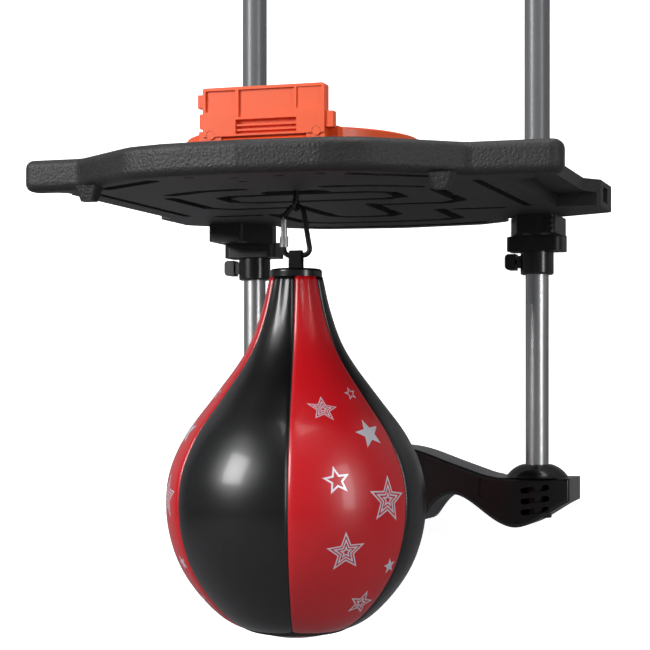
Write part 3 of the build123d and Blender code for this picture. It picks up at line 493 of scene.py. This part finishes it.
def bag_section(rows):
    """Points (radius, height) down the bag, smooth through the section's marks."""
    marks = [Vector((r * BELLY / MARKED_BELLY, COVER_TOP - s * COVER_LENGTH)) for s, r in SECTION]
    marks = [2 * marks[0] - marks[1]] + marks + [Vector((-marks[-2].x, marks[-2].y))]
    steps = []
    for k in range(1, len(marks) - 2):
        a, b, c, d = marks[k - 1:k + 3]
        for j in range(8):
            u = j / 8
            steps.append(0.5 * (2 * b + (c - a) * u + (2 * a - 5 * b + 4 * c - d) * u * u
                                + (3 * b - a - 3 * c + d) * u ** 3))
    steps.append(marks[-2])
    lengths = [0.0]
    for p, q in zip(steps, steps[1:]):
        lengths.append(lengths[-1] + (q - p).length)
    even = []
    k = 0
    for i in range(rows + 1):
        want = lengths[-1] * i / rows
        while k < len(steps) - 2 and lengths[k + 1] < want:
            k += 1
        span = lengths[k + 1] - lengths[k]
        u = (want - lengths[k]) / span if span else 0.0
        even.append(steps[k].lerp(steps[k + 1], u))
    return even, lengths[-1]


rows, columns = 110, 28
section, run = bag_section(rows)
print("the cover runs", round(run, 3), "m from neck to foot")

# %% [markdown]
# Each panel knows its own flat coordinates: metres across from its middle, and metres down from the neck.
# The print and the weave are laid on those, so they ride with the cloth.

# %% Sew the panels
CREASE = 0.0016
CREASE_WIDTH = 0.0014
SWELL = 0.0012
SINK = 0.0009
PLEAT = 0.0005
SEAM_GAP = 0.0006
COVER_THICK = 0.0022
PANELS = 6
FIRST_SEAM = math.radians(45.1)


def sewn_panel(index, verts, faces, flats):
    """Adds one closed panel shell to the lists."""
    start = len(verts)
    middle = FIRST_SEAM + (index + 0.5) * 2 * math.pi / PANELS
    half = math.pi / PANELS
    for layer in (0, 1):
        for i, p in enumerate(section):
            for j in range(columns + 1):
                s = math.sin(math.pi * (j / columns - 0.5))
                gap = (1 - abs(s)) * half * p.x
                crease = CREASE * min(1.0, p.x / 0.02) * math.exp(-gap / CREASE_WIDTH)
                swell = SWELL * (1 - s * s) * min(1.0, p.x / 0.06) - SINK
                pleat = PLEAT * math.cos(s * 9.0) * max(0.0, 1 - i / 16)
                r = max(0.0004, p.x + swell - crease + pleat - layer * COVER_THICK)
                a = middle + s * (half - SEAM_GAP)
                drop = layer * COVER_THICK * (0.6 if i > rows * 0.8 else 0.0)
                verts.append((r * math.cos(a), bag_axis.y + r * math.sin(a), p.y + drop))
                flats.append((s * half * p.x, -run * i / rows))
    width = columns + 1
    layer_size = width * (rows + 1)

    def at(layer, i, j):
        return start + layer * layer_size + i * width + j

    for i in range(rows):
        for j in range(columns):
            faces.append((at(0, i, j), at(0, i + 1, j), at(0, i + 1, j + 1), at(0, i, j + 1)))
            faces.append((at(1, i, j), at(1, i, j + 1), at(1, i + 1, j + 1), at(1, i + 1, j)))
        for j in (0, columns):
            quad = (at(0, i, j), at(1, i, j), at(1, i + 1, j), at(0, i + 1, j))
            faces.append(quad if j == 0 else quad[::-1])
    for j in range(columns):
        faces.append((at(0, 0, j), at(0, 0, j + 1), at(1, 0, j + 1), at(1, 0, j)))
        faces.append((at(0, rows, j), at(1, rows, j), at(1, rows, j + 1), at(0, rows, j + 1)))


def cover(name, panels, material, node):
    """Three panels of one colour, riding on the bag."""
    verts, faces, flats = [], [], []
    for index in panels:
        sewn_panel(index, verts, faces, flats)
    mesh = bpy.data.meshes.new(name)
    mesh.from_pydata(verts, [], faces)
    layer = mesh.uv_layers.new(name="panel")
    for loop in mesh.loops:
        layer.data[loop.index].uv = flats[loop.vertex_index]
    mesh.shade_smooth()
    mesh.materials.append(material)
    o = bpy.data.objects.new(name, mesh)
    bpy.context.scene.collection.objects.link(o)
    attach(o, "bag")
    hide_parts(node)
    print(name, "has", len(faces), "faces")


cover("bag_red_cover", (0, 2, 4), red_vinyl, "bag_panels_red")
cover("bag_black_cover", (1, 3, 5), black_vinyl, "bag_panels_black")

# %% [markdown]
# A thin black cord lies deep in each seam's crease. The sewn seams have no piping, so this cord is painted
# shade: a thin dark line standing in for the crease's shadow, which catches the light here and there.
# A bevelled curve is the simplest round cord.

# %% Lay the black cords that paint shade into the seams
SHADE_CORD_RADIUS = 0.00055


def seam_shade_cords():
    """Six thin black cords in the creases, painted seam shade, as one piece."""
    curve = bpy.data.curves.new("bag_seam_shade_cords", "CURVE")
    curve.dimensions = "3D"
    curve.bevel_depth = SHADE_CORD_RADIUS
    curve.bevel_resolution = 2
    for k in range(PANELS):
        a = FIRST_SEAM + k * 2 * math.pi / PANELS
        marks = section[2:-4:3]
        s = curve.splines.new("POLY")
        s.points.add(len(marks) - 1)
        for point, p in zip(s.points, marks):
            r = p.x - SINK - CREASE * min(1.0, p.x / 0.02)
            point.co = (r * math.cos(a), bag_axis.y + r * math.sin(a), p.y, 1)
    return curve


def as_mesh(curve, name):
    """The curve's round body as a mesh object."""
    holder = bpy.data.objects.new(name + "_curve", curve)
    bpy.context.scene.collection.objects.link(holder)
    bpy.context.view_layer.update()
    mesh = bpy.data.meshes.new_from_object(holder.evaluated_get(bpy.context.evaluated_depsgraph_get()))
    bpy.data.objects.remove(holder)
    mesh.shade_smooth()
    o = bpy.data.objects.new(name, mesh)
    bpy.context.scene.collection.objects.link(o)
    return o


# The black cords are painted shade along the seam creases.
seam_shade_mesh = as_mesh(seam_shade_cords(), "bag_seam_shade_cords")
seam_shade_mesh.data.materials.clear()
seam_shade_mesh.data.materials.append(webbing)
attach(seam_shade_mesh, "bag")
print("cord faces:", len(seam_shade_mesh.data.polygons))

# %% [markdown]
# The hard parts already have the right shapes, so they only need their finishes. One table says which
# finish each material slot of the record takes.

# %% Dress the hard parts
FINISHES = {
    "grey_powder_coat": grey_coat, "black_powder_coat": black_coat, "chrome_tube": plating,
    "charcoal_plastic": coarse_black, "black_plastic": fine_black, "gloss_black_plastic": smooth_black,
    "zinc_steel": zinc, "black_steel": dark_steel, "chrome_gate": plating, "red_vinyl": red_vinyl,
    "black_vinyl": smooth_black, "bladder_rubber": foam, "black_webbing": webbing, "orange_plastic": orange,
    "pale_rubber": pale_pad, "black_foam": foam, "natural_nylon": nylon,
}
for part in frame["record"]["subparts"]:
    o = nodes[part["node"]]
    material = FINISHES[part["material_slot"]]
    if o.material_slots:
        for s in o.material_slots:
            s.material = material
    else:
        o.data.materials.append(material)
